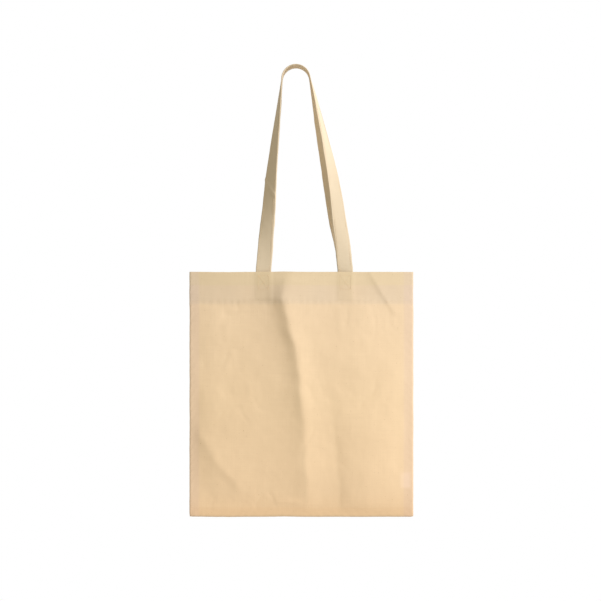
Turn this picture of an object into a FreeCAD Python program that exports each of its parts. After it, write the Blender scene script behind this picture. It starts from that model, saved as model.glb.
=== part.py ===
"""Flat cotton tote bag with two long handles, hanging with both handle loops over one peg.

Millimetres. +X to the right, +Z up, the front panel faces -Y.
The origin is the middle of the bag's bottom edge, in the plane between the two panels.
"""
import FreeCAD, Part
import os

import Sketcher
from FreeCAD import Placement, Rotation, Vector

DIMENSIONS = {
    # alias: (millimetres, what it is)
    "bag_width": (384.0, "finished width, side seam to side seam"),
    "bag_height": (420.0, "finished height, bottom seam to mouth"),
    "cloth": (0.5, "one layer of cotton"),
    "hem_height": (54.0, "depth of the turned hem"),
    "hem_thick": (1.5, "three layers of cotton"),
    "border": (16.0, "flat strip along the side and bottom seams"),
    "border_depth": (2.0, "outer face of that strip, from the middle plane"),
    "flat_half": (95.0, "half width of each panel's flat middle"),
    "low_height": (80.0, "height of the lower shape section"),
    "low_depth": (11.0, "outer face of the flat middle there"),
    "belly_height": (200.0, "height of the fullest section"),
    "belly_depth": (16.5, "outer face of the flat middle there"),
    "mouth_depth": (14.0, "outer face of the flat middle at the hem"),
    "seam_width": (14.0, "seam allowance turned into the bag"),
    "thread": (0.25, "how far a thread stands out of the cloth"),
    "thread_width": (0.6, "width of a row of stitches"),
    "overlock_width": (4.0, "overlock stitching round an allowance's free edge"),
    "hem_row": (2.5, "hem stitching, above the hem's lower edge"),
    "strap_width": (26.0, "finished width of a handle"),
    "strap_thick": (2.0, "thickness of a handle, folded from four layers"),
    "left_leg": (65.0, "left handle leg at the mouth, from the bag's middle"),
    "right_leg": (75.0, "right handle leg at the mouth, from the bag's middle"),
    "sewn_length": (48.0, "handle end sewn inside the hem"),
    "handle_split": (0.5, "room between a handle and its sewn ends, where it folds over"),
    "peg_offset": (9.5, "peg axis, to the left of the bag's middle"),
    "peg_height": (749.0, "peg axis, above the bottom seam"),
    "loop_inside": (23.0, "inside radius of the handle loops over the peg"),
    "loop_space": (2.0, "room between the two loops on the peg"),
    "left_bow": (2.0, "how far both handles' left legs bow outwards"),
    "right_bow": (8.0, "how far the front handle's right leg bows outwards"),
    "row_inset": (3.0, "handle stitching, from the handle's edge"),
    "tack_width": (18.0, "box-and-cross stitching on a handle end"),
    "tack_height": (24.0, "height of that box"),
    "tack_drop": (6.0, "top of that box, below the mouth"),
    "label_width": (22.0, "care label, inwards from the right seam"),
    "label_length": (26.0, "care label, along the seam"),
    "label_height": (50.0, "care label's lower edge, above the bottom seam"),
    "label_thick": (0.3, "folded ribbon"),
}
LEG_STATIONS = 5  # sections along each handle leg, hem and loop included
QUARTER_TURN = 90.0


class Size:
    """A length together with the sheet formula that it comes from."""

    def __init__(self, number, formula):
        self.number = number
        self.formula = formula

    def __add__(self, other):
        other = as_size(other)
        return Size(self.number + other.number, "(%s + %s)" % (self.formula, other.formula))

    def __sub__(self, other):
        other = as_size(other)
        return Size(self.number - other.number, "(%s - %s)" % (self.formula, other.formula))

    def __mul__(self, factor):
        return Size(self.number * factor, "%s * %r" % (self.formula, float(factor)))

    def __neg__(self):
        return self * -1


def as_size(value):
    """Plain numbers pass as lengths too."""
    return value if isinstance(value, Size) else Size(float(value), "%r" % float(value))


def make_sheet(document):
    """The spreadsheet of driving dimensions, and the same cells as sizes."""
    sheet = document.addObject("Spreadsheet::Sheet", "Dimensions")
    cells = {}
    for row, (alias, (number, note)) in enumerate(DIMENSIONS.items(), 1):
        sheet.set("A%d" % row, str(number))
        sheet.setAlias("A%d" % row, alias)
        sheet.set("B%d" % row, "'" + note)
        cells[alias] = Size(number, "Dimensions." + alias)
    document.recompute()
    return cells


doc = FreeCAD.newDocument("tote_bag")
size = make_sheet(doc)
half_width = size["bag_width"] * 0.5
hem_bottom = size["bag_height"] - size["hem_height"]
leg_middle = {"left": -size["left_leg"], "right": size["right_leg"]}
nodes = []


def make_body(label):
    body = doc.addObject("PartDesign::Body", label)
    body.Label = label
    body.AllowCompound = True
    nodes.append(body)
    return body


def make_sketch(body, name, plane="XY_Plane", offset=(0, 0, 0), turn=0.0):
    """A sketch on one of the body's own origin planes, moved along it and turned in it."""
    sketch = body.newObject("Sketcher::SketchObject", "%s_%s" % (body.Name, name))
    origin_plane = next(f for f in body.Origin.OriginFeatures if f.Role == plane)
    sketch.AttachmentSupport = [(origin_plane, "")]
    sketch.MapMode = "FlatFace"
    place = [as_size(value) for value in offset]
    sketch.AttachmentOffset = Placement(
        Vector(*(value.number for value in place)), Rotation(Vector(0, 0, 1), turn))
    for letter, value in zip("xyz", place):
        sketch.setExpression(".AttachmentOffset.Base." + letter, value.formula)
    return sketch


def add_outline(sketch, corners):
    """A closed outline, with every corner's two distances from the sketch's origin bound to the sheet."""
    corners = [(as_size(x), as_size(y)) for x, y in corners]
    points = [Vector(x.number, y.number, 0) for x, y in corners]
    first = sketch.GeometryCount
    count = len(points)
    for index in range(count):
        sketch.addGeometry(Part.LineSegment(points[index], points[(index + 1) % count]), False)
    for index in range(count):
        sketch.addConstraint(Sketcher.Constraint(
            "Coincident", first + index, 2, first + (index + 1) % count, 1))
    for index, corner in enumerate(corners):
        for kind, distance in zip(("DistanceX", "DistanceY"), corner):
            number = sketch.addConstraint(Sketcher.Constraint(
                kind, -1, 1, first + index, 1, distance.number))
            sketch.setExpression("Constraints[%d]" % number, distance.formula)


def rectangle(left, bottom, right, top):
    return [(left, bottom), (right, bottom), (right, top), (left, top)]


def add_pad(body, sketch, length):
    length = as_size(length)
    pad = body.newObject("PartDesign::Pad", sketch.Name + "_pad")
    pad.Profile = sketch
    pad.Length = length.number
    pad.setExpression("Length", length.formula)
    return pad


def add_loft(body, sketches, ruled):
    loft = body.newObject("PartDesign::AdditiveLoft", sketches[0].Name + "_loft")
    loft.Profile = sketches[0]
    loft.Sections = [(sketch, [""]) for sketch in sketches[1:]]
    loft.Ruled = ruled
    return loft


def panel_outline(side, depth, thickness):
    """Cross-section of a panel: flat borders at the seams, a flat middle, and sloping cloth between.

    side is -1 for the front and +1 for the back. The outer face is depth away from the middle plane.
    """
    border = half_width - size["border"]
    outer = [(-half_width, size["border_depth"]), (-border, size["border_depth"]),
             (-size["flat_half"], depth), (size["flat_half"], depth),
             (border, size["border_depth"]), (half_width, size["border_depth"])]
    outer = [(x, y * side) for x, y in outer]
    inner = [(x, y - thickness * side) for x, y in reversed(outer)]
    return outer + inner


def make_panel(label, side):
    """One panel: a flat foot at the bottom seam, the full body, and the stiffer turned hem."""
    body = make_body(label)
    cloth = size["cloth"]
    foot = make_sketch(body, "foot")
    add_outline(foot, panel_outline(side, size["border_depth"], cloth))
    add_pad(body, foot, size["border"])
    levels = [(size["border"], size["border_depth"]), (size["low_height"], size["low_depth"]),
              (size["belly_height"], size["belly_depth"]), (hem_bottom, size["mouth_depth"])]
    sections = []
    for number, (height, depth) in enumerate(levels):
        section = make_sketch(body, "section%d" % number, offset=(0, 0, height))
        add_outline(section, panel_outline(side, depth, cloth))
        sections.append(section)
    add_loft(body, sections, ruled=True)
    hem = make_sketch(body, "hem", offset=(0, 0, hem_bottom))
    add_outline(hem, panel_outline(side, size["mouth_depth"], size["hem_thick"]))
    add_pad(body, hem, size["hem_height"])


def make_hem_stitching(label, side):
    """The row that holds the hem down: a thread strip that follows the hem's outer face."""
    body = make_body(label)
    row = make_sketch(body, "row", offset=(0, 0, hem_bottom + size["hem_row"]))
    face = panel_outline(side, size["mouth_depth"], size["hem_thick"])[1:5]
    proud = [(x, y + size["thread"] * side) for x, y in reversed(face)]
    add_outline(row, face + proud)
    add_pad(body, row, size["thread_width"])


seam_back = size["border_depth"] - size["cloth"]  # the back panel's inner face along the seams
allowance_back = seam_back - size["thread"]
allowance_front = allowance_back - size["cloth"] * 2
overlock_front = allowance_front - size["thread"]
free_edge = size["seam_width"] + size["cloth"]  # from the bag's outer edge to the allowance's free edge
bottom_half = half_width - free_edge - size["thread"] * 2
seam_top = hem_bottom - size["handle_split"]


def wrap_outline():
    """Overlock stitching as a channel round the allowance's free edge, across and away from the seam."""
    base = free_edge - size["overlock_width"]
    tip = free_edge + size["thread"]
    return [(base, overlock_front), (tip, overlock_front), (tip, seam_back), (base, seam_back),
            (base, allowance_back), (free_edge, allowance_back), (free_edge, allowance_front),
            (base, allowance_front)]


def make_side_seam(name, hand):
    """Turned-in edges of both panels along one side, and the overlock stitching on them.

    hand is -1 on the left and +1 on the right.
    """
    def from_edge(corners):
        return [((half_width - x) * hand, y) for x, y in corners]

    body = make_body(name + "_seam_allowance")
    strip = make_sketch(body, "strip", offset=(0, 0, size["cloth"]))
    add_outline(strip, from_edge(rectangle(size["cloth"], allowance_front, free_edge, allowance_back)))
    add_pad(body, strip, seam_top - size["cloth"])

    body = make_body(name + "_seam_overlock")
    wrap = make_sketch(body, "wrap", offset=(0, 0, size["cloth"]))
    add_outline(wrap, from_edge(wrap_outline()))
    add_pad(body, wrap, seam_top - size["cloth"])


def make_bottom_seam():
    """The same along the bottom, between the two side seams."""
    body = make_body("bottom_seam_allowance")
    strip = make_sketch(body, "strip", "YZ_Plane", (0, 0, -bottom_half))
    add_outline(strip, rectangle(allowance_front, size["cloth"], allowance_back, free_edge))
    add_pad(body, strip, bottom_half * 2)

    body = make_body("bottom_seam_overlock")
    wrap = make_sketch(body, "wrap", "YZ_Plane", (0, 0, -bottom_half))
    add_outline(wrap, [(y, x) for x, y in wrap_outline()])
    add_pad(body, wrap, bottom_half * 2)


def make_care_label():
    """Folded ribbon caught in the right side seam, lying on the seam's front."""
    body = make_body("care_label")
    ribbon = make_sketch(body, "ribbon", offset=(0, 0, size["label_height"]))
    right = half_width - size["cloth"]
    add_outline(ribbon, rectangle(right - size["label_width"], overlock_front - size["label_thick"],
                                  right, overlock_front))
    add_pad(body, ribbon, size["label_length"])


handle_back = size["mouth_depth"] - size["hem_thick"]  # a handle lies on the hem's inner face
handle_front = handle_back - size["strap_thick"]
handle_middle = handle_back - size["strap_thick"] * 0.5


def make_handle_end(label, side, middle):
    """The length of handle sewn inside the hem."""
    body = make_body(label)
    end = make_sketch(body, "end", offset=(0, 0, size["bag_height"] - size["sewn_length"]))
    half = size["strap_width"] * 0.5
    add_outline(end, rectangle(middle - half, handle_front * side, middle + half, handle_back * side))
    add_pad(body, end, size["sewn_length"])


def make_tack(label, side, middle):
    """Box-and-cross stitching on the hem's outer face over a handle end."""
    body = make_body(label)
    face = size["mouth_depth"]
    half = size["tack_width"] * 0.5
    wide = size["thread_width"]
    top = size["bag_height"] - size["tack_drop"]
    bottom = top - size["tack_height"]
    left = middle - half
    right = middle + half
    plane_offset = (0, 0, -face * side)
    box = make_sketch(body, "box", "XZ_Plane", plane_offset)
    add_outline(box, rectangle(left, bottom, right, top))
    add_outline(box, rectangle(left + wide, bottom + wide, right - wide, top - wide))
    add_thread(body, box, side)
    rising = make_sketch(body, "rising", "XZ_Plane", plane_offset)
    add_outline(rising, [(left, bottom), (left + wide, bottom), (right, top), (right - wide, top)])
    add_thread(body, rising, side)
    falling = make_sketch(body, "falling", "XZ_Plane", plane_offset)
    add_outline(falling, [(right - wide, bottom), (right, bottom), (left + wide, top), (left, top)])
    add_thread(body, falling, side)


def add_thread(body, sketch, side):
    """A pad as thick as a thread, out of the bag: an XZ sketch's own normal is -Y."""
    pad = add_pad(body, sketch, size["thread"])
    pad.Reversed = side > 0


loop_middle = size["loop_inside"] + size["strap_thick"] * 0.5
loop_depth = (size["loop_space"] + size["strap_width"]) * 0.5


def leg_place(side, name, part, bow):
    """A handle leg's middle, part of the way from the mouth (0) to the loop (1)."""
    hand = -1 if name == "left" else 1
    foot_x = leg_middle[name]
    loop_x = loop_middle * hand - size["peg_offset"]
    foot_z = size["bag_height"] + size["handle_split"]
    x = foot_x * (1 - part) + loop_x * part + bow * (4 * part * (1 - part) * hand)
    y = (handle_middle * (1 - part) + loop_depth * part) * side
    z = foot_z * (1 - part) + size["peg_height"] * part
    return x, y, z


def add_band(body, side, bows, across, outward, tag):
    """A band that rides along a handle: two twisting legs and the half ring over the peg.

    across is the band's span over the handle's width, and outward its span through the handle's
    thickness. The handle's outer face looks away from the bag at the mouth and away from the peg
    at the loop, so each leg makes a quarter turn between them.
    """
    for name, hand in (("left", -1), ("right", 1)):
        sections = []
        for station in range(LEG_STATIONS):
            part = station / (LEG_STATIONS - 1)
            turn = -side * hand * QUARTER_TURN * part
            place = leg_place(side, name, part, bows[name])
            section = make_sketch(body, "%s_%s%d" % (tag, name, station), "XY_Plane", place, turn)
            add_outline(section, rectangle(across[0] * hand, outward[0] * side,
                                           across[1] * hand, outward[1] * side))
            sections.append(section)
        add_loft(body, sections, ruled=False)
    add_half_ring(body, side, across, outward, tag)


def add_half_ring(body, side, across, outward, tag):
    """Half a turn of the band's section about the peg's axis, drawn at the top of the loop."""
    ring = make_sketch(body, tag + "_ring", "YZ_Plane", (0, 0, -size["peg_offset"]))
    middle = loop_depth * side
    rim = size["peg_height"] + loop_middle
    add_outline(ring, rectangle(middle - across[0] * side, rim + outward[0],
                                middle - across[1] * side, rim + outward[1]))
    peg_axis = ring.addGeometry(Part.LineSegment(
        Vector(0, size["peg_height"].number, 0), Vector(1, size["peg_height"].number, 0)), True)
    ring.addConstraint(Sketcher.Constraint("Horizontal", peg_axis))
    number = ring.addConstraint(Sketcher.Constraint(
        "DistanceY", -1, 1, peg_axis, 1, size["peg_height"].number))
    ring.setExpression("Constraints[%d]" % number, size["peg_height"].formula)
    revolution = body.newObject("PartDesign::Revolution", ring.Name + "_turn")
    revolution.Profile = ring
    revolution.ReferenceAxis = (ring, ["Axis0"])
    revolution.Angle = 2 * QUARTER_TURN
    revolution.Midplane = True


def make_handle(place, side, right_bow):
    """A long handle folded from one strip, and the two rows of stitching that hold its folds."""
    half = size["strap_width"] * 0.5
    face = size["strap_thick"] * 0.5
    bows = {"left": size["left_bow"], "right": right_bow}
    body = make_body(place + "_handle_strap")
    add_band(body, side, bows, (-half, half), (-face, face), "strap")
    body = make_body(place + "_handle_stitching")
    for tag, hand in (("inner_row", -1), ("outer_row", 1)):
        row = (half - size["row_inset"]) * hand
        wide = size["thread_width"] * 0.5
        across = (row - wide, row + wide)
        add_band(body, side, bows, across, (face - size["thread"], face + size["thread"]), tag)


def check_and_write():
    """Stop on anything FreeCAD could not build, then write one STEP file for each node."""
    doc.recompute()
    for item in doc.Objects:
        if "Invalid" in item.State or "Error" in item.State:
            raise RuntimeError("%s failed: %s" % (item.Name, item.State))
    for body in nodes:
        if body.Shape.isNull() or not body.Shape.isValid():
            raise RuntimeError("%s has no valid shape" % body.Label)
    os.makedirs("parts", exist_ok=True)
    for body in nodes:
        body.Shape.exportStep("parts/%s.step" % body.Label)
        print("%-28s %d solid(s) %10.1f mm3" % (body.Label, len(body.Shape.Solids), body.Shape.Volume))


for place, side in (("front", -1), ("back", 1)):
    make_panel(place + "_panel", side)
    make_hem_stitching(place + "_hem_stitching", side)
    for name in ("left", "right"):
        make_handle_end("%s_handle_%s_end" % (place, name), side, leg_middle[name])
        make_tack("%s_%s_tack_stitching" % (place, name), side, leg_middle[name])
make_side_seam("left", -1)
make_side_seam("right", 1)
make_bottom_seam()
make_care_label()
make_handle("front", -1, size["right_bow"])
make_handle("back", 1, 0.0)
check_and_write()
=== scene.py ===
"""Unbleached cotton tote bag hanging by both handles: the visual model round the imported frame.

Metres, +Z up, and the front panel faces -Y. Sizes come from the frame's nodes or are named below.
"""
import math

import bpy
import numpy as np
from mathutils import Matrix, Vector, noise


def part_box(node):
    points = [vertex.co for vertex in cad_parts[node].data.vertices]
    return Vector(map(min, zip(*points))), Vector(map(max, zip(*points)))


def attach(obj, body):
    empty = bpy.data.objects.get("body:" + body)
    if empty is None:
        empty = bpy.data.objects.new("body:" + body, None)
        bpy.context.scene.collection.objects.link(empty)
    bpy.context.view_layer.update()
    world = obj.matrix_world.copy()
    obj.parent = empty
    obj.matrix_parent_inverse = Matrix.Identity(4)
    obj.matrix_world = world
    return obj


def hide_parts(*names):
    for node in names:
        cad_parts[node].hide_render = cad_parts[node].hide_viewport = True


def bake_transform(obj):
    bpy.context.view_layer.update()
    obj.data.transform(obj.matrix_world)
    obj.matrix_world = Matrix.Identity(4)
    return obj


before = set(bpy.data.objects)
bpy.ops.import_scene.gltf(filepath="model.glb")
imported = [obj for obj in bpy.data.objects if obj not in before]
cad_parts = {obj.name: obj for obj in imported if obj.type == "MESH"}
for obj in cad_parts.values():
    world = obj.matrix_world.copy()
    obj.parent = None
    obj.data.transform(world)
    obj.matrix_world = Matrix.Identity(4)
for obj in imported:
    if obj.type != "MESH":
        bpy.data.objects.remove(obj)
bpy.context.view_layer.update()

MM = 0.001

# ---------------------------------------------------------------- the frame's own sizes
panel_low, panel_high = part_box("front_panel")
row_low, row_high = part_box("front_hem_stitching")
seam_low, seam_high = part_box("left_seam_allowance")
label_low, label_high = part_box("care_label")
end_low, end_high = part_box("front_handle_left_end")
right_end_low, right_end_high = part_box("front_handle_right_end")
strap_low, strap_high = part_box("front_handle_strap")
tack_low, tack_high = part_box("front_left_tack_stitching")

HALF = panel_high.x
HEIGHT = panel_high.z
BELLY = -panel_low.y
THREAD_PROUD = 0.25 * MM
MOUTH = -row_low.y - THREAD_PROUD
BORDER_DEPTH = 2.0 * MM - panel_high.y
HEM = HEIGHT - seam_high.z - 0.5 * MM
HEM_ROW = (row_low.z + row_high.z) / 2
SEAM_WIDTH = seam_high.x - seam_low.x
SEWN = HEIGHT - end_low.z
LEGS = {"left": (end_low.x + end_high.x) / 2, "right": (right_end_low.x + right_end_high.x) / 2}
STRAP_WIDTH = end_high.x - end_low.x
STRAP_THICK = end_high.y - end_low.y
HANDLE_Y = -(end_low.y + end_high.y) / 2
LOOP_Y = -(strap_low.y + STRAP_WIDTH / 2)

# ---------------------------------------------------------------- cloth and thread
PLY = 0.45 * MM                # one layer of cloth
FOLD_PLY = 0.5 * MM            # layers lie this far apart in the hem
GRID = 2.6 * MM                # spacing of the panels' points
TURN_UNDER = 34 * MM           # raw edge turned up inside the hem
SEAM_GAP = 0.15 * MM           # each panel stays this far from the middle plane
CORNER = 3.5 * MM              # rounding of the lower corners
MOUTH_SLACK = 1.13             # the mouth bulges past the handle ends
STITCH_LENGTH = 2.3 * MM
STITCH_PITCH = 3.0 * MM
THREAD_LIFT = 0.12 * MM        # a stitch's middle line above the cloth
ROW_INSET = 3 * MM             # rows of stitches, from a handle's edges
LOOP_RADIUS = 24 * MM          # a handle's middle line round the peg
PEG = Vector((-9.5 * MM, 0.0, strap_high.z - LOOP_RADIUS - STRAP_THICK / 2))

# How far the legs bow outwards. Both handles hang in one line close to the bag, and part higher up.
BOWS = {"front": {"left": 2 * MM, "right": 8 * MM}, "back": {"left": 2 * MM, "right": 0.0}}
LOW_BOWS = BOWS["front"]


# ---------------------------------------------------------------- shapes of folds
def step(low, high, value):
    """Smooth 0 to 1 between low and high."""
    share = np.clip((value - low) / (high - low), 0.0, 1.0)
    return share * share * (3 - 2 * share)


def along(value, stops):
    """Smooth values through (place, value) stops."""
    places = [place for place, _ in stops]
    levels = [level for _, level in stops]
    value = np.asarray(value, float)
    index = np.clip(np.searchsorted(places, value) - 1, 0, len(places) - 2)
    low = np.take(places, index)
    high = np.take(places, index + 1)
    share = step(low, high, value)
    return np.take(levels, index) * (1 - share) + np.take(levels, index + 1) * share


def straight(value, stops):
    """Straight runs through (place, value) stops."""
    return np.interp(value, [place for place, _ in stops], [level for _, level in stops])


def pinch(across, left, right, crest=4 * MM):
    """Cross-section of a pulled fold: curving up to a tight crest, easing away on the other side."""
    reach = np.sqrt(across ** 2 + crest ** 2) - crest
    return np.exp(-reach / np.where(across < 0, left, right))


def lift(across, reach, corner=3 * MM):
    """Cross-section that is level up to a crease, then rises quickly and levels off."""
    run = (across + np.sqrt(across ** 2 + corner ** 2)) / 2
    return 1 - np.exp(-run / reach)


def rough(x, z, pitch, seed):
    """Gentle unevenness of that pitch, from about -1 to 1."""
    flat_x = np.ravel(x) / pitch
    flat_z = np.ravel(z) / pitch
    values = [noise.fractal(Vector((a, b, seed)), 1.0, 2.0, 2) for a, b in zip(flat_x, flat_z)]
    return np.reshape(values, np.shape(x))


def crumple(x, z, pitch, seed):
    """Shallow creases left from storage: sharp where two slopes meet, about -1 to 0."""
    return -np.exp(-np.abs(rough(x, z, pitch, seed)) / 0.06)


def in_mm(*stops):
    """Stops given in millimetres."""
    return [(place * MM, level * MM) for place, level in stops]


def long_fold(x, z, wavy):
    """The fold from the left handle to the middle of the bottom."""
    crest = wavy + straight(z, in_mm((0, 10), (37, 9), (94, 7), (151, 5), (197, 1), (243, -3), (277, -8),
                                     (323, -18), (351, -25), (375, -32), (398, -28), (420, -18)))
    height = along(z, in_mm((0, 2.5), (60, 5.5), (150, 7), (210, 9.5), (300, 11), (370, 10.5), (400, 8),
                            (420, 4)))
    left = along(z, in_mm((0, 34), (140, 30), (210, 22), (300, 17), (375, 15), (405, 20), (420, 24)))
    right = along(z, in_mm((0, 34), (200, 30), (330, 40), (420, 50)))
    round_top = along(z, in_mm((0, 4), (200, 5), (300, 6), (360, 8), (420, 12)))
    return height * pinch(x - crest, left, right, round_top)


def opening_crease(x, z, wavy):
    """The crease beside the long fold, which opens towards the bottom."""
    crease = wavy + straight(z, in_mm((0, 69), (37, 66), (94, 62), (151, 57), (197, 50), (243, 37), (277, 29),
                                      (310, 20)))
    height = along(z, in_mm((0, 3.4), (40, 5.0), (130, 4.4), (200, 3.4), (270, 2.6), (320, 0)))
    reach = along(z, in_mm((0, 15), (110, 17), (200, 28), (270, 42)))
    return height * lift(x - crease, reach) * (1 - step(110 * MM, HALF - 4 * MM, x))


def slack_below_hem(x, z):
    """Slack cloth below the right handle, and a hollow below the left one."""
    height = along(z, in_mm((280, 0), (310, 1.6), (358, 2.2), (372, 1.0), (380, 0)))
    slack = height * lift(x - 56 * MM, 26 * MM) * (1 - step(96 * MM, 150 * MM, x))
    height = along(z, in_mm((300, 0), (345, 1.3), (364, 1.2), (376, 0)))
    return slack - height * np.exp(-((x + 96 * MM) / (46 * MM)) ** 2)


def mouth_crease(x, z):
    """A short crease out of the mouth on the right."""
    crease = straight(z, in_mm((340, 166), (362, 150), (420, 116)))
    height = along(z, in_mm((335, 0), (368, 1.5), (405, 1.5), (420, 0.8)))
    return height * pinch(x - crease, 4 * MM, 20 * MM, 2 * MM)


def corner_drag(x, z, wavy):
    """A drag line across the lower left corner."""
    crease = 3 * wavy + straight(z, in_mm((0, -88), (37, -102), (71, -125), (106, -151), (146, -177)))
    height = along(z, in_mm((16, 0), (60, 2.8), (115, 3.3), (176, 0)))
    return height * pinch(x - crease, 16 * MM, 32 * MM, 6.5 * MM)


def level_creases(x, z):
    """Two small creases that lie level: one right of the long fold, one by the bottom seam."""
    shelf = straight(x, in_mm((20, 262), (110, 240))) + 16 * MM
    height = along(x, in_mm((14, 0), (50, 1.3), (90, 1.2), (130, 0)))
    upper = height * np.exp(-((z - shelf) / (18 * MM)) ** 2)
    height = along(x, in_mm((-55, 0), (-35, 1.0), (-10, 0.9), (8, 0)))
    return upper + height * np.exp(-((z - 25 * MM) / (6 * MM)) ** 2)


def front_folds(x, z):
    """The hanging folds of the front panel, outwards, in metres."""
    wavy = 2.6 * MM * rough(x * 0, z, 38 * MM, 71.0)
    return long_fold(x, z, wavy) + opening_crease(x, z, wavy) + slack_below_hem(x, z) \
        + mouth_crease(x, z) + corner_drag(x, z, wavy) + level_creases(x, z)


def back_folds(x, z):
    """The back panel's own hanging folds, outwards, in metres: two long ones and a short crease."""
    wavy = 3.0 * MM * rough(x * 0, z, 42 * MM, 72.0)
    crest = wavy + straight(z, in_mm((0, -48), (200, -20), (420, 30)))
    height = along(z, in_mm((0, 1.5), (120, 5.5), (330, 9), (400, 5.5), (420, 3.5)))
    out = height * pinch(x - crest, 40 * MM, 20 * MM, 6 * MM)
    crest = wavy + straight(z, in_mm((0, 104), (180, 88), (420, 70)))
    height = along(z, in_mm((0, 2.4), (110, 4.4), (260, 3), (372, 0)))
    out += height * pinch(x - crest, 18 * MM, 34 * MM, 5 * MM)
    crease = straight(z, in_mm((0, -150), (90, -118), (190, -92)))
    height = along(z, in_mm((20, 0), (70, 2), (130, 1.6), (185, 0)))
    return out + height * pinch(x - crease, 24 * MM, 12 * MM)


def handle_ends(x, z):
    """How far the sewn handle ends press the hem outwards."""
    out = np.zeros_like(x)
    for middle in LEGS.values():
        over = 1 - step(STRAP_WIDTH / 2 - 2 * MM, STRAP_WIDTH / 2 + 4 * MM, np.abs(x - middle))
        out += 0.5 * MM * over * step(end_low.z - 2 * MM, end_low.z + 3 * MM, z)
    return out


def panel_bulge(x, z):
    """The smooth shape of an empty bag: flat at the seams, and fullest in the middle and at the mouth."""
    edge_share = along(z, [(0, 0.30), (120 * MM, 0.30), (250 * MM, 0.08), (420 * MM, 0.03)])
    at_edge = 1 - step(HALF - 46 * MM, HALF - 2 * MM, np.abs(x))
    share = (1 - edge_share) * (1 - np.abs(x / HALF) ** 2.0) + edge_share * at_edge
    middle = along(z, [(0, BORDER_DEPTH), (14 * MM, BORDER_DEPTH + 0.6 * MM), (90 * MM, BELLY - 6 * MM),
                       (200 * MM, 0.88 * BELLY), (HEIGHT - HEM, MOUTH_SLACK * MOUTH),
                       (HEIGHT, MOUTH_SLACK * MOUTH)])
    return BORDER_DEPTH + (middle - BORDER_DEPTH) * share


def small_creases(side, x, z):
    """Unevenness and patches of storage creases; the seeds differ from side to side."""
    small = 0.9 * MM * rough(x, z, 70 * MM, 3.0 + side) + 0.28 * MM * rough(x, z, 19 * MM, 9.0 + side)
    patches = np.clip(0.25 + 1.6 * rough(x, z, 80 * MM, 61.0 + side), 0, 1)
    small += 0.55 * MM * crumple(x, 0.7 * z, 64 * MM, 14.0 + side) * patches
    small += 0.2 * MM * crumple(x, z, 30 * MM, 43.0 + side) * patches
    stiff = 1 - 0.6 * step(HEIGHT - HEM - 6 * MM, HEIGHT - HEM + 6 * MM, z)
    return small * stiff


def seam_gathers(side, x, z):
    """Cloth gathered a little along the side and bottom seams."""
    from_seam = np.minimum(HALF - np.abs(x), z)
    gathers = np.sin((z + np.abs(x)) / (2.4 * MM) + 4 * rough(x, z, 30 * MM, 8.0 + side))
    return 0.3 * MM * gathers * np.exp(-from_seam / (6 * MM)) * step(0, 2 * MM, from_seam)


def panel_depth(side, x, z):
    """How far a panel's outer face is from the plane between the panels."""
    inside = step(0, 20 * MM, HALF - np.abs(x)) * step(0, 24 * MM, z)
    folds = (front_folds(x, z) if side < 0 else back_folds(x, z)) + handle_ends(x, z)
    depth = panel_bulge(x, z) + inside * (folds + small_creases(side, x, z))

    # the hem's row of stitches puckers the cloth and draws it in
    below = HEM_ROW - z
    pucker = np.exp(-np.abs(below) / (5 * MM)) * np.sin(x / (1.9 * MM) + 3 * rough(x, z * 0, 40 * MM, 5.0))
    depth = depth + inside * 0.16 * MM * pucker
    depth = depth + seam_gathers(side, x, z)
    depth = depth - 0.25 * MM * np.exp(-(below / (1.2 * MM)) ** 2)

    # below the hem's three layers, the single layer sinks in
    edge = HEIGHT - HEM - z
    sunk = step(-0.5 * MM, 6 * MM, edge) * (1 - step(14 * MM, 40 * MM, edge))
    return depth - 0.25 * MM * sunk * inside


# ---------------------------------------------------------------- making meshes
def grid_mesh(name, points, lay, tint=None, closed=False):
    """A mesh of a grid of points; lay holds each point's place on the flat cloth."""
    rows, columns = points.shape[:2]
    flat = points.reshape(-1, 3)
    index = np.arange(rows * columns).reshape(rows, columns)
    right = np.roll(index, -1, axis=1) if closed else index[:, 1:]
    left = index if closed else index[:, :-1]
    faces = np.stack([left[:-1], right[:-1], right[1:], left[1:]], axis=-1).reshape(-1, 4)
    mesh = bpy.data.meshes.new(name)
    mesh.from_pydata(flat.tolist(), [], faces.tolist())
    store(mesh, "lay", "FLOAT_VECTOR", "vector", lay.reshape(-1, 3))
    if tint is not None:
        store(mesh, "tint", "FLOAT_COLOR", "color", np.append(tint, np.ones_like(tint[..., :1]), axis=-1))
    mesh.polygons.foreach_set("use_smooth", [True] * len(mesh.polygons))
    mesh.update()
    return mesh


def store(mesh, key, kind, field, values):
    """Keep one value per point of the mesh, for its material to read."""
    attribute = mesh.attributes.new(key, kind, "POINT")
    attribute.data.foreach_set(field, np.ascontiguousarray(values, np.float32).ravel())


def add_object(name, mesh, material):
    """A new object in the scene, with that mesh and material."""
    piece = bpy.data.objects.new(name, mesh)
    bpy.context.scene.collection.objects.link(piece)
    mesh.materials.append(material)
    return piece


def apply_modifiers(piece):
    """Make what the modifiers show the piece's own mesh."""
    bpy.context.view_layer.update()
    graph = bpy.context.evaluated_depsgraph_get()
    mesh = bpy.data.meshes.new_from_object(piece.evaluated_get(graph), depsgraph=graph)
    piece.modifiers.clear()
    old = piece.data
    piece.data = mesh
    bpy.data.meshes.remove(old)


def thicken(piece, thickness, offset=-1.0):
    """Give a sheet its thickness: inwards from its face, or centred with an offset of 0."""
    solidify = piece.modifiers.new("thickness", "SOLIDIFY")
    solidify.thickness = thickness
    solidify.offset = offset
    apply_modifiers(piece)


def keep_sides_closed(piece):
    """Bakes the piece's placement into its mesh and reads its points, which it leaves where they are.
    """
    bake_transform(piece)
    count = len(piece.data.vertices)
    places = np.empty(count * 3, np.float32)
    piece.data.vertices.foreach_get("co", places)


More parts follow.
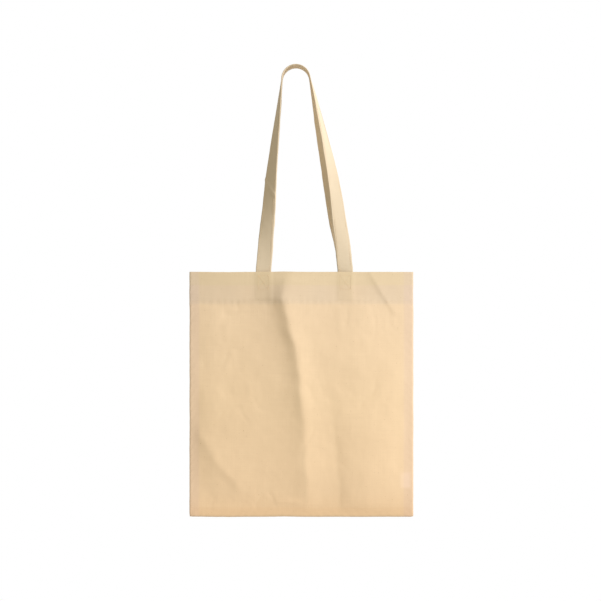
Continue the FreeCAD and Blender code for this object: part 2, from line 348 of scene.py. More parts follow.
# ---------------------------------------------------------------- materials
def node_tree(name):
    """A new material with its nodes, its links and its shader."""
    material = bpy.data.materials.new(name)
    material.use_nodes = True
    nodes = material.node_tree.nodes
    return material, nodes, material.node_tree.links, nodes["Principled BSDF"]


def colour_mix(nodes, links, factor, first, second, blend="MIX"):
    """A colour between first and second, each a colour or a socket; factor is a socket or number."""
    mix = nodes.new("ShaderNodeMix")
    mix.data_type = "RGBA"
    mix.blend_type = blend
    for socket, value in ((mix.inputs[0], factor), (mix.inputs[6], first), (mix.inputs[7], second)):
        if isinstance(value, bpy.types.NodeSocket):
            links.new(value, socket)
        else:
            socket.default_value = value
    return mix.outputs[2]


def maths(nodes, links, operation, first, second):
    """The result of one operation on two sockets or numbers."""
    node = nodes.new("ShaderNodeMath")
    node.operation = operation
    for socket, value in zip(node.inputs, (first, second)):
        if isinstance(value, bpy.types.NodeSocket):
            links.new(value, socket)
        else:
            socket.default_value = value
    return node.outputs[0]


def attribute(nodes, key):
    """A value that the mesh keeps at each point."""
    node = nodes.new("ShaderNodeAttribute")
    node.attribute_name = key
    return node.outputs


def noise_field(nodes, links, lay, stretch, scale, detail):
    """Noise over the cloth, from 0 to 1, finer where stretch or scale is larger."""
    mapping = nodes.new("ShaderNodeMapping")
    mapping.inputs["Scale"].default_value = stretch
    links.new(lay, mapping.inputs["Vector"])
    texture = nodes.new("ShaderNodeTexNoise")
    texture.inputs["Scale"].default_value = scale
    texture.inputs["Detail"].default_value = detail
    links.new(mapping.outputs["Vector"], texture.inputs["Vector"])
    return texture.outputs["Fac"]


def ramp(nodes, links, value, low, high):
    """value from low to high becomes 0 to 1."""
    node = nodes.new("ShaderNodeMapRange")
    node.inputs["From Min"].default_value = low
    node.inputs["From Max"].default_value = high
    links.new(value, node.inputs["Value"])
    return node.outputs["Result"]


def threads(nodes, links, lay, direction, pitch):
    """Rounded threads side by side: bands of that pitch along the cloth."""
    wave = nodes.new("ShaderNodeTexWave")
    wave.bands_direction = direction
    wave.inputs["Scale"].default_value = 2 * math.pi / pitch / 20
    wave.inputs["Distortion"].default_value = 0.6
    wave.inputs["Detail"].default_value = 2.0
    wave.inputs["Detail Scale"].default_value = 1.5
    links.new(lay, wave.inputs["Vector"])
    return wave.outputs["Fac"]


def add_bump(nodes, links, shader, height, strength, distance):
    """Relief on the surface, from a socket that says how high it is."""
    bump = nodes.new("ShaderNodeBump")
    bump.inputs["Strength"].default_value = strength
    bump.inputs["Distance"].default_value = distance
    links.new(height, bump.inputs["Height"])
    links.new(bump.outputs["Normal"], shader.inputs["Normal"])


WEAVE_PITCH = 0.8 * MM
SEED_FLECK = (0.42, 0.27, 0.13, 1)


def cotton(name, colour, shade, tinted=False):
    """Plain-woven unbleached cotton: uneven yarn, seed flecks, and layers behind that show through; the tint
    also carries painted light and shade.
    """
    material, nodes, links, shader = node_tree(name)
    lay = attribute(nodes, "lay")["Vector"]
    cloudy = noise_field(nodes, links, lay, (1, 1, 1), 14, 4)
    warp = noise_field(nodes, links, lay, (700, 16, 1), 1, 2)
    weft = noise_field(nodes, links, lay, (16, 700, 1), 1, 2)
    yarn = maths(nodes, links, "ADD", warp, weft)
    tone = colour_mix(nodes, links, ramp(nodes, links, cloudy, 0.3, 0.75), colour, shade)
    tone = colour_mix(nodes, links, ramp(nodes, links, yarn, 0.7, 1.35), shade, tone)
    if tinted:
        # the tint holds the layers behind the cloth and painted light and shade
        tone = colour_mix(nodes, links, 1.0, tone, attribute(nodes, "tint")["Color"], "MULTIPLY")
    fleck = ramp(nodes, links, noise_field(nodes, links, lay, (1, 1.6, 1), 420, 1), 0.74, 0.80)
    tone = colour_mix(nodes, links, fleck, tone, SEED_FLECK)
    links.new(tone, shader.inputs["Base Color"])
    across = threads(nodes, links, lay, "X", WEAVE_PITCH)
    up = threads(nodes, links, lay, "Y", WEAVE_PITCH)
    weave = maths(nodes, links, "MULTIPLY", across, up)
    height = maths(nodes, links, "ADD", weave, maths(nodes, links, "MULTIPLY", yarn, 0.8))
    add_bump(nodes, links, shader, height, 0.35, 0.12 * MM)
    roughness = ramp(nodes, links, yarn, 0.2, 1.8)
    links.new(maths(nodes, links, "ADD", maths(nodes, links, "MULTIPLY", roughness, 0.14), 0.82),
              shader.inputs["Roughness"])
    shader.inputs["Specular IOR Level"].default_value = 0.25
    shader.inputs["Sheen Weight"].default_value = 0.12
    shader.inputs["Sheen Roughness"].default_value = 0.5
    return material


def thread_material(name, colour, shade):
    """Spun sewing thread with its twist."""
    material, nodes, links, shader = node_tree(name)
    place = nodes.new("ShaderNodeTexCoord").outputs["Object"]
    uneven = noise_field(nodes, links, place, (1, 1, 1), 900, 2)
    links.new(colour_mix(nodes, links, ramp(nodes, links, uneven, 0.3, 0.7), colour, shade),
              shader.inputs["Base Color"])
    twist = nodes.new("ShaderNodeTexWave")
    twist.bands_direction = "DIAGONAL"
    twist.inputs["Scale"].default_value = 500
    links.new(place, twist.inputs["Vector"])
    add_bump(nodes, links, shader, twist.outputs["Fac"], 0.4, 0.05 * MM)
    shader.inputs["Roughness"].default_value = 0.72
    shader.inputs["Sheen Weight"].default_value = 0.15
    return material


canvas = cotton("unbleached_cotton", (0.80, 0.603, 0.378, 1), (0.75, 0.56, 0.347, 1), tinted=True)
handle_canvas = cotton("handle_cotton", (0.705, 0.578, 0.405, 1), (0.655, 0.54, 0.38, 1))
seam_canvas = cotton("seam_edge_cotton", (0.77, 0.58, 0.37, 1), (0.69, 0.52, 0.33, 1))
sewing_thread = thread_material("sewing_thread", (0.80, 0.62, 0.40, 1), (0.70, 0.53, 0.33, 1))
overlock_thread = thread_material("overlock_thread", (0.84, 0.74, 0.58, 1), (0.74, 0.64, 0.48, 1))


# ---------------------------------------------------------------- panels
def panel_rows():
    """Down the panel: bottom seam, body, mouth fold, facing, and the edge turned under."""
    rows = []
    radius = BORDER_DEPTH - SEAM_GAP
    for angle in np.linspace(90, 0, 6)[:-1]:
        turn = math.radians(angle)
        rows.append((radius - radius * math.sin(turn), radius - radius * math.cos(turn)))
    body = np.linspace(radius, HEIGHT - FOLD_PLY, int((HEIGHT - radius) / GRID))
    rows += [(z, 0.0) for z in body]
    for angle in (30, 60, 90, 120, 150, 180):
        turn = math.radians(angle)
        rows.append((HEIGHT - FOLD_PLY + FOLD_PLY * math.sin(turn), FOLD_PLY - FOLD_PLY * math.cos(turn)))
    hem_foot = HEIGHT - HEM + FOLD_PLY / 2
    rows += [(z, 2 * FOLD_PLY) for z in np.linspace(HEIGHT - FOLD_PLY, hem_foot, int(HEM / GRID))[1:]]
    for angle in (45, 90, 135, 180):
        turn = math.radians(angle)
        rows.append((hem_foot - FOLD_PLY / 2 * math.sin(turn),
                     1.5 * FOLD_PLY + FOLD_PLY / 2 * math.cos(turn)))
    rows += [(z, FOLD_PLY) for z in np.linspace(hem_foot, hem_foot + TURN_UNDER, int(TURN_UNDER / GRID))[1:]]
    return np.array(rows)


def panel_columns():
    """Across the panel, with both side edges wrapped in towards the seam."""
    radius = BORDER_DEPTH - SEAM_GAP
    count = int(2 * HALF / GRID)
    middle = [(x, 0.0) for x in np.linspace(-HALF + radius, HALF - radius, count)]
    wrap = [(HALF - radius + radius * math.sin(math.radians(angle)),
             radius - radius * math.cos(math.radians(angle))) for angle in (18, 36, 54, 72, 90)]
    return np.array([(-x, inset) for x, inset in reversed(wrap)] + middle + wrap)


def flat_lengths(path):
    """How far along the flat cloth each stop of a path is."""
    return np.concatenate([[0], np.cumsum(np.hypot(*np.diff(path, axis=0).T))])


# what a layer behind the cloth multiplies its colour by, and painted shade at the bottom and along the bottom
# fold
HEM_TINT = (0.90, 0.935, 1.0)
FACING_TINT = (0.915, 0.955, 0.95)
HANDLE_END_TINT = (0.955, 0.955, 0.93)
SEAM_TINT = (0.972, 0.97, 1.045)
# bottom seam edges behind the cloth, and painted shade that darkens the bottom
BOTTOM_SEAM_AND_SHADE_TINT = (0.95, 0.91, 0.86)
LABEL_TINT = (1.07, 1.09, 1.19)
# painted shade along the fold at the bottom edge
BOTTOM_FOLD_SHADE_TINT = (0.80, 0.84, 0.89)
# painted light and shade in the cloth's colour at the bottom, in the middle and near the top: darker and
# warmer low down where the key light falls off, lighter near the top
PAINTED_LIGHT_TONES = ((0.965, 0.935, 0.92), (1.0, 1.0, 1.0), (1.015, 1.03, 1.08))
PAINTED_LIGHT_HEIGHTS = (0, 0.48 * HEIGHT, 0.87 * HEIGHT)


def painted_light_tone(x, z):
    """Painted light and shade in the cloth's colour: darker and warmer at the bottom, lighter near the top,
    and lighter on the upper left, which faces away from the key light.
    """
    tone = np.stack([np.interp(z, PAINTED_LIGHT_HEIGHTS, channel) for channel in zip(*PAINTED_LIGHT_TONES)], axis=-1)
    # painted light: the upper left, turned away from the key light, is made 4 % lighter
    painted_light_left = (1 - step(-0.6 * HALF, -0.1 * HALF, x)) * step(0.3 * HEIGHT, 0.55 * HEIGHT, z)
    return tone * (1 + 0.04 * painted_light_left[..., None])


def over_handle_ends(x, down):
    """1 over the handle ends behind the hem, and 0 elsewhere."""
    ends = np.zeros_like(x)
    for middle in LEGS.values():
        over = 1 - step(STRAP_WIDTH / 2 - 1 * MM, STRAP_WIDTH / 2 + 1.5 * MM, np.abs(x - middle))
        ends = np.maximum(ends, over * (1 - step(SEWN, SEWN + 3 * MM, down)))
    return ends


def over_label(x, z):
    """1 over the care label behind the cloth, and 0 elsewhere."""
    soft = 1.6 * MM
    across = step(label_low.x - soft, label_low.x + soft, x) * (1 - step(HALF - 6 * MM, HALF - 4 * MM, x))
    above = step(label_low.z - soft, label_low.z + soft, z)
    below = 1 - step(label_high.z - soft, label_high.z + soft, z)
    return across * above * below


def cloth_tint(x, z):
    """Layers behind thin cloth change its colour: hem layers, handle ends, seam edges and the label; painted
    light and shade go on top: lighter near the top and on the upper left, darker towards the bottom and along
    the bottom fold.
    """
    down = HEIGHT - z
    seam = SEAM_WIDTH + 1.5 * MM
    turned_from = HEIGHT - HEM_ROW - TURN_UNDER
    turned = step(turned_from + 4 * MM, turned_from + 7 * MM, down)
    hem = (1 - step(HEM - 3 * MM, HEM + 4 * MM, down)) * turned
    hem *= 0.8 + 0.35 * rough(x, z * 0, 60 * MM, 77.0)
    at_side = 1 - step(seam - 1 * MM, seam + 3 * MM, HALF - np.abs(x))
    # the bottom seam edges behind (0.35), and painted shade over the lowest 52 mm (0.65) where the key light
    # falls off
    seam_and_shade_at_bottom = 1 - 0.35 * step(seam - 1 * MM, seam + 3 * MM, z) - 0.65 * step(0, 52 * MM, z)
    # painted shade along the fold at the bottom edge, over the lowest 3 mm
    at_edge = 1 - step(0.5 * MM, 3.5 * MM, z)
    layers = ((hem, HEM_TINT), (1 - turned, FACING_TINT), (over_handle_ends(x, down), HANDLE_END_TINT),
              (at_side, SEAM_TINT), (seam_and_shade_at_bottom, BOTTOM_SEAM_AND_SHADE_TINT), (0.8 * over_label(x, z), LABEL_TINT),
              (at_edge, BOTTOM_FOLD_SHADE_TINT))
    # start from the painted light and shade, then add the layers behind
    tint = painted_light_tone(x, z)
    for amount, colour in layers:
        tint *= 1 + amount[..., None] * (np.array(colour) - 1)
    return tint


def panel_points(side, x, z, inset):
    """Places on a panel, inset below its outer face; the cut edge's own waviness is in x and z."""
    depth = np.maximum(panel_depth(side, x, np.minimum(z, HEIGHT)) - inset, SEAM_GAP)
    wander_x = 0.8 * MM * rough(z, x * 0, 90 * MM, 21.0) + 0.3 * MM * rough(z, x * 0, 15 * MM, 23.0)
    wander_x = wander_x * step(0.5 * HALF, HALF, np.abs(x))
    wander_z = 0.6 * MM * rough(x, z * 0, 80 * MM, 31.0) + 0.2 * MM * rough(x, z * 0, 13 * MM, 33.0)
    low = np.clip(CORNER - z, 0, CORNER)
    cut = (CORNER - np.sqrt(CORNER ** 2 - low ** 2)) * step(HALF - 30 * MM, HALF, np.abs(x))
    return np.stack([x + wander_x - np.sign(x) * cut, side * depth, z + wander_z], axis=-1)


def make_panel(name, side):
    """One panel with its hem, in one continuous cloth; side is -1 for the front and 1 for the back."""
    rows = panel_rows()
    columns = panel_columns()
    z = np.repeat(rows[:, :1], len(columns), axis=1)
    x = columns[None, :, 0] * (1 - rows[:, 1:] / HALF)
    edge = columns[None, :, 1] / columns[:, 1].max()
    inset = np.maximum(columns[None, :, 1], 0) + rows[:, 1:] * (1 - edge)
    points = panel_points(side, x, z, inset)
    lay = np.zeros_like(points)
    lay[..., 0] = flat_lengths(columns)[None, :]
    lay[..., 1] = flat_lengths(rows)[:, None]
    mesh = grid_mesh(name, points, lay, cloth_tint(x, z))
    if side > 0:
        mesh.flip_normals()
    piece = add_object(name, mesh, canvas)
    thicken(piece, PLY)
    return piece


# ---------------------------------------------------------------- stitches
def stitch_shape(sides=6, rings=5):
    """One stitch lying along X: a thread that dips into the cloth at both ends."""
    points = []
    for ring in range(rings):
        share = ring / (rings - 1)
        girth = 0.35 + 0.65 * math.sin(math.pi * min(max(share, 0.08), 0.92))
        raised = 0.9 * math.sin(math.pi * share) - 0.55
        for corner in range(sides):
            turn = 2 * math.pi * corner / sides
            points.append((share - 0.5, girth * math.cos(turn), girth * math.sin(turn) + raised))
    faces = []
    for ring in range(rings - 1):
        for corner in range(sides):
            after = (corner + 1) % sides
            faces.append((ring * sides + corner, ring * sides + after,
                          (ring + 1) * sides + after, (ring + 1) * sides + corner))
    faces.append(tuple(reversed(range(sides))))
    faces.append(tuple((rings - 1) * sides + corner for corner in range(sides)))
    return np.array(points), faces


STITCH_POINTS, STITCH_FACES = stitch_shape()


def stitch_row(middles, directions, outwards, length=STITCH_LENGTH, radius=0.26 * MM):
    """Vertices and faces of stitches at middles, along directions, standing outwards."""
    vertices = []
    faces = []
    for middle, direction, outward in zip(middles, directions, outwards):
        direction = direction / np.linalg.norm(direction)
        aside = np.cross(outward, direction)
        aside = aside / np.linalg.norm(aside)
        outward = np.cross(direction, aside)
        start = len(vertices) * len(STITCH_POINTS)
        vertices.append(middle + STITCH_POINTS[:, :1] * length * direction
                        + STITCH_POINTS[:, 1:2] * radius * aside + STITCH_POINTS[:, 2:] * radius * outward)
        faces += [tuple(start + corner for corner in face) for face in STITCH_FACES]
    return np.concatenate(vertices), faces


def stitch_object(name, rows, material):
    """One piece made of many stitches, from the vertices and faces of its rows."""
    vertices = []
    faces = []
    for row_vertices, row_faces in rows:
        start = sum(len(part) for part in vertices)
        vertices.append(row_vertices)
        faces += [tuple(start + corner for corner in face) for face in row_faces]
    mesh = bpy.data.meshes.new(name)
    mesh.from_pydata(np.concatenate(vertices).tolist(), [], faces)
    mesh.polygons.foreach_set("use_smooth", [True] * len(mesh.polygons))
    mesh.update()
    return add_object(name, mesh, material)


def stitch_places(start, end):
    """Middles of the stitches of a straight row from start to end, and half a stitch along it."""
    start = np.array(start)
    end = np.array(end)
    length = np.linalg.norm(end - start)
    count = max(2, int(round(length / STITCH_PITCH)))
    shares = (np.arange(count) + 0.5) / count
    return start + shares[:, None] * (end - start), (end - start) / length * STITCH_LENGTH / 2


def stitches_on_panel(side, start, end, inner=False):
    """A straight row of stitches from (x, z) to (x, z), on a panel's outer face or the hem's inner face."""
    places, half_stitch = stitch_places(start, end)
    depth = np.full(len(places), 2 * FOLD_PLY + PLY + THREAD_LIFT if inner else -THREAD_LIFT)
    middles, ahead, behind = [panel_points(side, *(places + shift).T, depth)
                              for shift in (0 * half_stitch, half_stitch, -half_stitch)]
    outward = np.repeat([[0.0, -side if inner else side, 0.0]], len(places), axis=0)
    return stitch_row(middles, ahead - behind, outward)


def stitches_on_handle_end(side, start, end):
    """A straight row of stitches from (x, z) to (x, z), on the flat handle end inside the bag."""
    places, half_stitch = stitch_places(start, end)
    level = side * (HANDLE_Y - 0.5 * STRAP_THICK - THREAD_LIFT)
    middles = np.stack([places[:, 0], np.full(len(places), level), places[:, 1]], axis=-1)
    directions = np.repeat([[half_stitch[0], 0.0, half_stitch[1]]], len(places), axis=0)
    outward = np.repeat([[0.0, -float(side), 0.0]], len(places), axis=0)
    return stitch_row(middles, directions, outward)


def make_hem_stitches(name, side):
    """The row that holds the hem, seen on both faces of the cloth."""
    edge = HALF - 2.5 * MM
    outer = stitches_on_panel(side, (-edge, HEM_ROW), (edge, HEM_ROW))
    inner = stitches_on_panel(side, (-edge, HEM_ROW), (edge, HEM_ROW), inner=True)
    return stitch_object(name, [outer, inner], sewing_thread)


def make_tack(name, side, middle):
    """Box-and-cross stitching through the hem over a handle end."""
    half = (tack_high.x - tack_low.x) / 2
    left, right = middle - half, middle + half
    low, high = tack_low.z, tack_high.z
    corners = [(left, low), (right, low), (right, high), (left, high)]
    runs = [(corners[index], corners[(index + 1) % 4]) for index in range(4)]
    runs += [(corners[0], corners[2]), (corners[1], corners[3])]
    rows = [stitches_on_panel(side, *run) for run in runs]
    rows += [stitches_on_handle_end(side, *run) for run in runs]
    return stitch_object(name, rows, sewing_thread)


# ---------------------------------------------------------------- handles
LEG_POINTS = 190
SEWN_POINTS = 15
LOOP_POINTS = 38


def tangent_angle(foot, hand):
    """Where a taut leg meets the loop, as an angle about the peg; hand is -1 for the left leg."""
    reach = math.hypot(foot[0] - PEG.x, foot[1] - PEG.z)
    base = math.atan2(foot[1] - PEG.z, foot[0] - PEG.x)
    return base + hand * math.acos(LOOP_RADIUS / reach)


def handle_leg(name, hand, bows):
    """A leg from its sewn end to the loop: x, z, how far up it each point is, and where it meets the loop."""
    foot = (LEGS[name], HEIGHT)
    angle = tangent_angle(foot, hand)
    top = (PEG.x + LOOP_RADIUS * math.cos(angle), PEG.z + LOOP_RADIUS * math.sin(angle))
    share = np.linspace(0, 1, LEG_POINTS)
    low = 1 - step(0.08, 0.28, share)
    bow = LOW_BOWS[name] * low + bows[name] * (1 - low)
    x = foot[0] + (top[0] - foot[0]) * share + hand * bow * 4 * share * (1 - share)
    z = foot[1] + (top[1] - foot[1]) * share
    settle = step(0, 0.05, share)
    x = foot[0] * (1 - settle) + x * settle
    sewn = np.linspace(end_low.z, HEIGHT, SEWN_POINTS + 1)[:-1]
    x = np.concatenate([np.full(len(sewn), foot[0]), x])
    z = np.concatenate([sewn, z])
    share = np.concatenate([np.zeros(len(sewn)), share])
    return x, z, share, angle


def handle_line(side, bows):
    """The handle's middle line from sewn end to sewn end, and each point's quarter-turn share.

    The share is 0 where the handle is flat against the panel and 1 over the peg.
    """
    left_x, left_z, left_share, left_angle = handle_leg("left", -1, bows)
    right_x, right_z, right_share, right_angle = handle_leg("right", 1, bows)
    loop = np.linspace(left_angle % (2 * math.pi), right_angle, LOOP_POINTS + 2)[1:-1]
    x = np.concatenate([left_x, PEG.x + LOOP_RADIUS * np.cos(loop), right_x[::-1]])
    z = np.concatenate([left_z, PEG.z + LOOP_RADIUS * np.sin(loop), right_z[::-1]])
    share = np.concatenate([left_share, np.ones(len(loop)), right_share[::-1]])
    lean = HANDLE_Y + (LOOP_Y - HANDLE_Y) * step(0, 1, share)
    return np.stack([x, side * lean, z], axis=-1), share


def handle_frames(side, line, share):
    """Directions across a handle and out of its outer face, all the way along it."""
    ahead = np.gradient(line, axis=0)
    ahead /= np.linalg.norm(ahead, axis=1)[:, None]
    turn = share ** 0.95 * math.pi / 2
    plane_normal = np.array([0.0, side, 0.0])
    out_of_loop = np.cross(ahead, [0.0, 1.0, 0.0])
    out_of_loop /= np.linalg.norm(out_of_loop, axis=1)[:, None]
    outward = np.cos(turn)[:, None] * plane_normal + np.sin(turn)[:, None] * out_of_loop
    outward -= np.sum(outward * ahead, axis=1)[:, None] * ahead
    outward /= np.linalg.norm(outward, axis=1)[:, None]
    across = np.cross(outward, ahead)
    return ahead, across, outward


def strap_section():
    """Outline of a folded handle: the rows of stitches sink in, and one edge shows two folds that meet."""
    half = STRAP_WIDTH / 2
    row = half - ROW_INSET
    groove = [(row - 1 * MM, 0.98), (row, 0.86), (row + 1 * MM, 0.98)]
    fold = [(half - 0.8 * MM, 0.9), (half - 0.15 * MM, 0.5)]
    left = [(-x, y) for x, y in groove + fold] + [(-half, 0.0)]
    left += [(-x, -y) for x, y in reversed(groove + fold)]
    two_folds = [(half - 0.8 * MM, 0.92), (half, 0.42), (half - 0.5 * MM, 0.06)]
    right = [(x, -y) for x, y in groove + two_folds]
    right += [(x, y) for x, y in reversed(groove + two_folds)]
    flat = np.linspace(-row + 4 * MM, row - 4 * MM, 5)
    outline = left + [(x, -1.0) for x in flat] + right + [(x, 1.0) for x in flat[::-1]]
    squeezed = STRAP_THICK / 2 * 0.88
    return np.array([(x, y * squeezed) for x, y in outline])


def path_length(points):
    """How far along a path each of its points is."""
    return np.concatenate([[0], np.cumsum(np.linalg.norm(np.diff(points, axis=0), axis=1))])


def handle_unevenness(side, length, share, section):
    """How far each point of a handle is aside, and out of its face, from a perfect band."""
    free = step(0.0, 0.1, share) * (1 - 0.8 * step(0.9, 1.0, share))
    wander = 0.8 * MM * rough(length, length * 0, 60 * MM, 51.0 + side) * free
    wander += 0.35 * MM * rough(length, length * 0, 14 * MM, 53.0 + side) * free
    cup = 0.6 * MM * np.sin(length / (31 * MM)) * free
    bend = (section[:, 0] / (STRAP_WIDTH / 2)) ** 2 - 0.3
    out = cup[:, None] * bend[None, :]
    along_it = length[:, None] + 0 * section[None, :, 0]
    across_it = section[None, :, 0] + 0 * length[:, None]
    if side < 0:
        wrinkle = along_it - 0.23 * length[-1] - across_it
        out = out + 1.2 * MM * np.exp(-(wrinkle / (3.2 * MM)) ** 2)
    out = out + 0.4 * MM * rough(along_it, across_it, 24 * MM, 57.0 + side) * free[:, None]
    return wander, out


def make_handle(name, side, bows):
    """One handle in one piece, and the course that its stitches follow."""
    line, share = handle_line(side, bows)
    ahead, across, outward = handle_frames(side, line, share)
    section = strap_section()
    length = path_length(line)
    wander, out = handle_unevenness(side, length, share, section)
    points = line[:, None] + (section[None, :, :1] + wander[:, None, None]) * across[:, None] \
        + (section[None, :, 1:] + out[..., None]) * outward[:, None]
    lay = np.zeros_like(points)
    lay[..., 0] = section[None, :, 0] + 0.02 * (section[None, :, 1] < 0)
    lay[..., 1] = length[:, None]
    mesh = grid_mesh(name, points, lay, closed=True)
    cap_ends(mesh, points.shape)
    piece = add_object(name, mesh, handle_canvas)
    return piece, (line, ahead, across, outward, length)


def cap_ends(mesh, shape):
    """Close a tube of rings at both ends."""
    rows, columns = shape[:2]
    vertices = [tuple(vertex.co) for vertex in mesh.vertices]
    faces = [tuple(face.vertices) for face in mesh.polygons]
    faces.append(tuple(reversed(range(columns))))
    faces.append(tuple(range((rows - 1) * columns, rows * columns)))
    lay = np.empty(len(vertices) * 3, np.float32)
    mesh.attributes["lay"].data.foreach_get("vector", lay)
    mesh.clear_geometry()
    mesh.from_pydata(vertices, [], faces)
    store(mesh, "lay", "FLOAT_VECTOR", "vector", lay)
    mesh.polygons.foreach_set("use_smooth", [True] * len(mesh.polygons))
    mesh.update()


def make_handle_stitches(name, course):
    """Two rows of stitches along a handle, on both of its faces."""
    line, ahead, across, outward, length = course
    rows = []
    places = np.arange(SEWN + 4 * MM, length[-1] - SEWN - 4 * MM, STITCH_PITCH)

    def at(values):
        """The values at the places of the stitches."""
        return np.stack([np.interp(places, length, values[:, axis]) for axis in range(3)], axis=-1)

    middle, forward, sideways, out = at(line), at(ahead), at(across), at(outward)
    for row in (-1, 1):
        for face in (-1, 1):
            offset = sideways * row * (STRAP_WIDTH / 2 - ROW_INSET) + out * face * STRAP_THICK / 2 * 0.84
            rows.append(stitch_row(middle + offset, forward, out * face))
    return stitch_object(name, rows, sewing_thread)


def fold_with_handle(piece):
    """Bakes the piece's placement into its mesh."""
    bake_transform(piece)


# ---------------------------------------------------------------- the inside
def make_seam_edges(name, start, end, inwards):
    """Two plies of turned-in cloth along a seam, from start to end (x, z), waving a little."""
    start = np.array(start)
    end = np.array(end)
    inwards = np.array(inwards)
    long_count = int(np.linalg.norm(end - start) / (4 * MM))
    t = np.linspace(0, 1, long_count)[:, None]
    s = np.linspace(0, 1, 7)[None, :]
    sheets = []
    for ply, y in ((0, 0.42 * MM), (1, 0.95 * MM)):
        place = start + t[..., None] * (end - start) + s[..., None] * SEAM_WIDTH * inwards
        wave = 0.12 * MM * np.sin(t * 90 + ply) * s
        sheets.append(np.stack([place[..., 0], y + wave, place[..., 1]], axis=-1))
    points = np.concatenate([sheets[0], sheets[1][:, ::-1]], axis=1)
    lay = points[..., [0, 2, 1]].copy()
    mesh = grid_mesh(name, points, lay)
    piece = add_object(name, mesh, seam_canvas)
    thicken(piece, 0.38 * MM, 0.0)
    return piece


def make_overlock(name, start, end, inwards):
    """Overlock stitching round the free edge of a seam: a looping thread and a chain on the edge."""
    start = np.array(start)
    end = np.array(end)
    inwards = np.array(inwards)
    direction = (end - start) / np.linalg.norm(end - start)
    pitch = 3.2 * MM
    reach = 4.6 * MM
    proud = 0.3 * MM
    # one loop: share of the pitch along the seam, distance in from the edge, and height in millimetres
    one_loop = ((0.0, reach, 0.15), (0.18, 0.0, 0.2), (0.25, -proud, 0.7), (0.34, 0.0, 1.25),
                (0.55, reach, 1.28), (0.72, 0.0, 1.25), (0.8, -proud, 0.7), (0.88, 0.0, 0.18))
    course = []
    for loop in range(int(np.linalg.norm(end - start) / pitch)):
        base = start + direction * pitch * loop
        for share, inset, y in one_loop:
            place = base + direction * pitch * share + inwards * (SEAM_WIDTH - inset)
            course.append((place[0], y * MM, place[1]))
    return tube_object(name, np.array(course), 0.17 * MM, overlock_thread)


def tube_object(name, course, radius, material):
    """A thin four-sided thread along a course."""
    ahead = np.gradient(course, axis=0)
    ahead /= np.linalg.norm(ahead, axis=1)[:, None]
    aside = np.cross(ahead, [0.31, 0.27, 0.91])
    aside /= np.linalg.norm(aside, axis=1)[:, None]
    up = np.cross(ahead, aside)
    corners = [aside, up, -aside, -up]
    points = np.stack([course + radius * corner for corner in corners], axis=1)
    mesh = grid_mesh(name, points, points.copy(), closed=True)
    cap_ends(mesh, points.shape)
    return add_object(name, mesh, material)


def ribbon_material():
    """White ribbon with fine ribs."""
    material, nodes, links, shader = node_tree("label_ribbon")
    place = nodes.new("ShaderNodeTexCoord").outputs["Object"]
    ribs = threads(nodes, links, place, "Z", 0.5 * MM)
    links.new(colour_mix(nodes, links, ribs, (0.84, 0.83, 0.80, 1), (0.78, 0.77, 0.74, 1)),
              shader.inputs["Base Color"])
    add_bump(nodes, links, shader, ribs, 0.3, 0.05 * MM)
    shader.inputs["Roughness"].default_value = 0.45
    shader.inputs["Sheen Weight"].default_value = 0.2
    return material


def make_label():
    """Care label: white ribbon folded in half, its ends caught in the side seam."""
    width = label_high.x - label_low.x
    fold = 0.14 * MM
    path = [(width - share * (width - fold), fold) for share in np.linspace(0, 1, 9)]
    path += [(fold - fold * math.sin(turn), fold * math.cos(turn)) for turn in np.linspace(0.5, 2.6, 4)]
    path += [(fold + share * (width - fold), -fold) for share in np.linspace(0, 1, 9)]
    path = np.array(path)
    z = np.linspace(label_low.z, label_high.z, 12)
    middle = (label_low.y + label_high.y) / 2
    points = np.zeros((len(z), len(path), 3))
    points[..., 0] = label_low.x + path[None, :, 0]
    points[..., 1] = middle + path[None, :, 1] + 0.05 * MM * np.sin(z[:, None] * 300)
    points[..., 2] = z[:, None]
    mesh = grid_mesh("care_label_ribbon", points, points.copy())
    piece = add_object("care_label_ribbon", mesh, ribbon_material())
    thicken(piece, 0.1 * MM, 0.0)
    return piece


# ---------------------------------------------------------------- the pieces, and what each one stands for
seam_foot = seam_low.z
seam_head = seam_high.z
inner = HALF - 0.5 * MM
bottom_low, bottom_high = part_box("bottom_seam_allowance")
seams = {
    "left": ((-inner, seam_foot), (-inner, seam_head), (1, 0)),
    "right": ((inner, seam_foot), (inner, seam_head), (-1, 0)),
    "bottom": ((bottom_low.x, bottom_low.z), (bottom_high.x, bottom_low.z), (0, 1)),
}
seam_pieces = []
for name, run in seams.items():
    edges = make_seam_edges(name + "_seam_edges", *run)
    loops = make_overlock(name + "_overlock_loops", *run)
    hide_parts(name + "_seam_allowance")
    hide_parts(name + "_seam_overlock")
    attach(edges, "bag")
    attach(loops, "bag")
    seam_pieces += [edges, loops]

for place, side, body in (("front", -1, "front"), ("back", 1, "bag")):
    panel = make_panel(place + "_cloth", side)
    hem = make_hem_stitches(place + "_hem_stitches", side)
    tacks = [make_tack("%s_%s_tack" % (place, name), side, LEGS[name]) for name in ("left", "right")]
    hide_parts(place + "_panel")
    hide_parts(place + "_hem_stitching")
    for name, tack in zip(("left", "right"), tacks):
        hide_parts("%s_%s_tack_stitching" % (place, name))
        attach(tack, body)
    for piece in (panel, hem):
        if side < 0:
            keep_sides_closed(piece)
        else:
            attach(piece, body)

    handle, course = make_handle(place + "_handle_band", side, BOWS[place])
    rows = make_handle_stitches(place + "_handle_rows", course)
    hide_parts(place + "_handle_strap", place + "_handle_left_end", place + "_handle_right_end")
    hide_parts(place + "_handle_stitching")
    for piece in (handle, rows):
        fold_with_handle(piece)

label = make_label()
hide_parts("care_label")
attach(label, "bag")


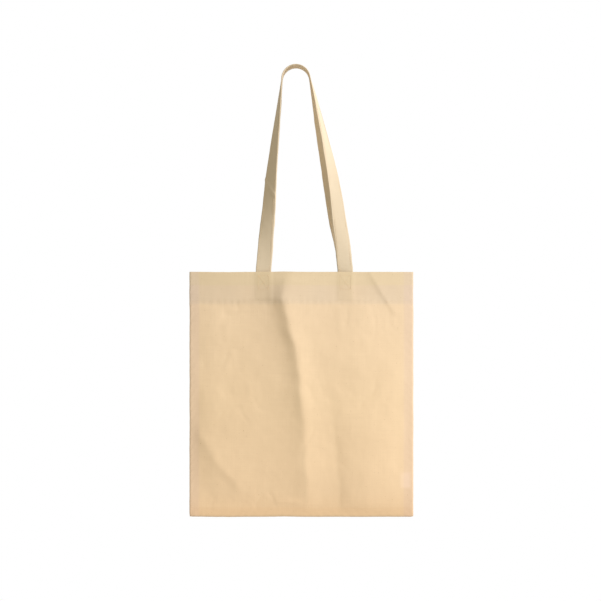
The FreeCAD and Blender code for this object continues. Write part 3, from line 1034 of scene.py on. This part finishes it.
# ---------------------------------------------------------------- floor, light and camera
def make_floor():
    """A pale round floor well below the hanging bag."""
    material, nodes, links, shader = node_tree("pale_floor")
    place = nodes.new("ShaderNodeTexCoord").outputs["Object"]
    uneven = noise_field(nodes, links, place, (1, 1, 1), 6, 3)
    links.new(colour_mix(nodes, links, uneven, (0.90, 0.90, 0.90, 1), (0.94, 0.94, 0.94, 1)),
              shader.inputs["Base Color"])
    shader.inputs["Roughness"].default_value = 0.9
    bpy.ops.mesh.primitive_circle_add(vertices=96, radius=1.1, fill_type="NGON", location=(0, 0, -0.35))
    floor = bpy.context.object
    floor.name = "floor"
    floor.data.materials.append(material)


def make_world():
    """Even soft studio light, and a pure white surround."""
    world = bpy.data.worlds.new("studio")
    bpy.context.scene.world = world
    world.use_nodes = True
    nodes = world.node_tree.nodes
    links = world.node_tree.links
    soft = nodes["Background"]
    soft.inputs["Strength"].default_value = 0.50
    soft.inputs["Color"].default_value = (1.0, 0.948, 0.80, 1)
    white = nodes.new("ShaderNodeBackground")
    white.inputs["Strength"].default_value = 1.0
    white.inputs["Color"].default_value = (1, 1, 1, 1)
    path = nodes.new("ShaderNodeLightPath")
    mix = nodes.new("ShaderNodeMixShader")
    links.new(path.outputs["Is Camera Ray"], mix.inputs[0])
    links.new(soft.outputs[0], mix.inputs[1])
    links.new(white.outputs[0], mix.inputs[2])
    links.new(mix.outputs[0], nodes["World Output"].inputs["Surface"])


def add_area_light(name, place, target, width, power, colour=(1, 1, 1)):
    """A square area light at place that faces target."""
    light = bpy.data.lights.new(name, "AREA")
    light.size = width
    light.energy = power
    light.color = colour
    lamp = bpy.data.objects.new(name, light)
    lamp.location = place
    lamp.rotation_euler = (Vector(target) - Vector(place)).to_track_quat("-Z", "Y").to_euler()
    bpy.context.scene.collection.objects.link(lamp)


def make_camera():
    """Straight on, level with the middle of the hanging bag."""
    distance = 3.3
    frame_width = 1.031
    camera = bpy.data.cameras.new("camera")
    camera.sensor_width = 36
    camera.lens = 36 * distance / frame_width
    place = bpy.data.objects.new("camera", camera)
    place.location = (-0.0017, -distance, 0.371)
    place.rotation_euler = (math.radians(90), 0, 0)
    bpy.context.scene.collection.objects.link(place)
    bpy.context.scene.camera = place


make_floor()
make_world()
add_area_light("key", (6.9, -5.0, 4.5), (0, 0, 0.3), 3.0, 862, (0.99, 1.0, 1.07))
add_area_light("back_fill", (2.3, 2.3, 1.6), (0, 0, 0.3), 1.2, 64)
make_camera()
bpy.context.scene.view_settings.view_transform = "Standard"
